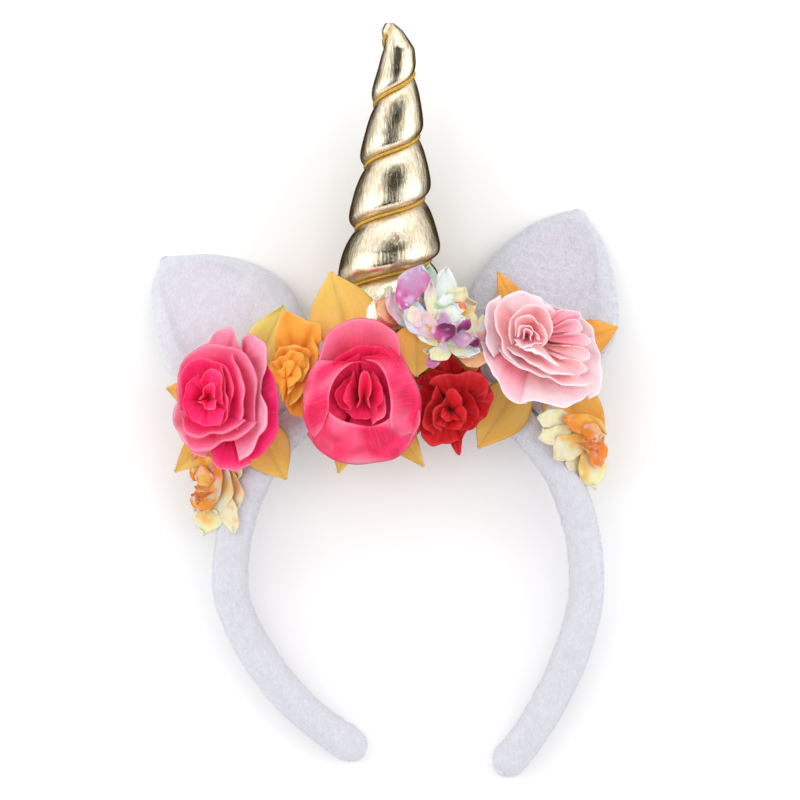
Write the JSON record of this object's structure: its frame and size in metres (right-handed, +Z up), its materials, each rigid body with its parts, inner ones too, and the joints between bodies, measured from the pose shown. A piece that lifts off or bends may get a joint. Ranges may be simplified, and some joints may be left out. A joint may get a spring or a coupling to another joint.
{
  "type": "unicorn horn headband",
  "caption": "Plush-covered open headband with a gold spiral horn, plush ears and a row of cloth roses, blossoms and leaves along its top.",
  "frame": {"origin": "middle of the bounding box's footprint, on the floor that the headband lies on", "axes": "+Y from the band's open ends towards the horn's tip, +Z up from the back of the headband to its flowers, +X to the wearer's left as seen from the flowers' side"},
  "size_m": [0.1778, 0.2856, 0.0603],
  "materials": {
    "plush": "short-pile plush",
    "gold_lame": "metallic foil cloth",
    "gold_cord": "metallic cord",
    "rose_left": "matt",
    "rose_centre": "matt",
    "rose_orange": "matt",
    "rose_red": "matt",
    "rose_blush": "matt",
    "hydrangea": "matt",
    "blossom": "matt",
    "stamens": "matt",
    "leaf": "matt"
  },
  "bodies": {
    "root": {"band": "plush", "blossom_left": "blossom", "blossom_right": "blossom", "ear_left": "plush", "ear_right": "plush", "horn": "gold_lame", "horn_cord": "gold_cord", "hydrangea": "hydrangea", "leaf_blush_low": "leaf", "leaf_blush_right": "leaf", "leaf_blush_side": "leaf", "leaf_blush_top": "leaf", "leaf_centre_edge": "leaf", "leaf_centre_low": "leaf", "leaf_centre_side": "leaf", "leaf_centre_top": "leaf", "leaf_left_inner": "leaf", "leaf_left_low": "leaf", "leaf_left_side": "leaf", "leaf_left_top": "leaf", "leaf_red_top": "leaf", "rose_blush": "rose_blush", "rose_centre": "rose_centre", "rose_left": "rose_left", "rose_orange": "rose_orange", "rose_red": "rose_red", "stamens_left": "stamens", "stamens_right": "stamens"}
  },
  "joints": []
}
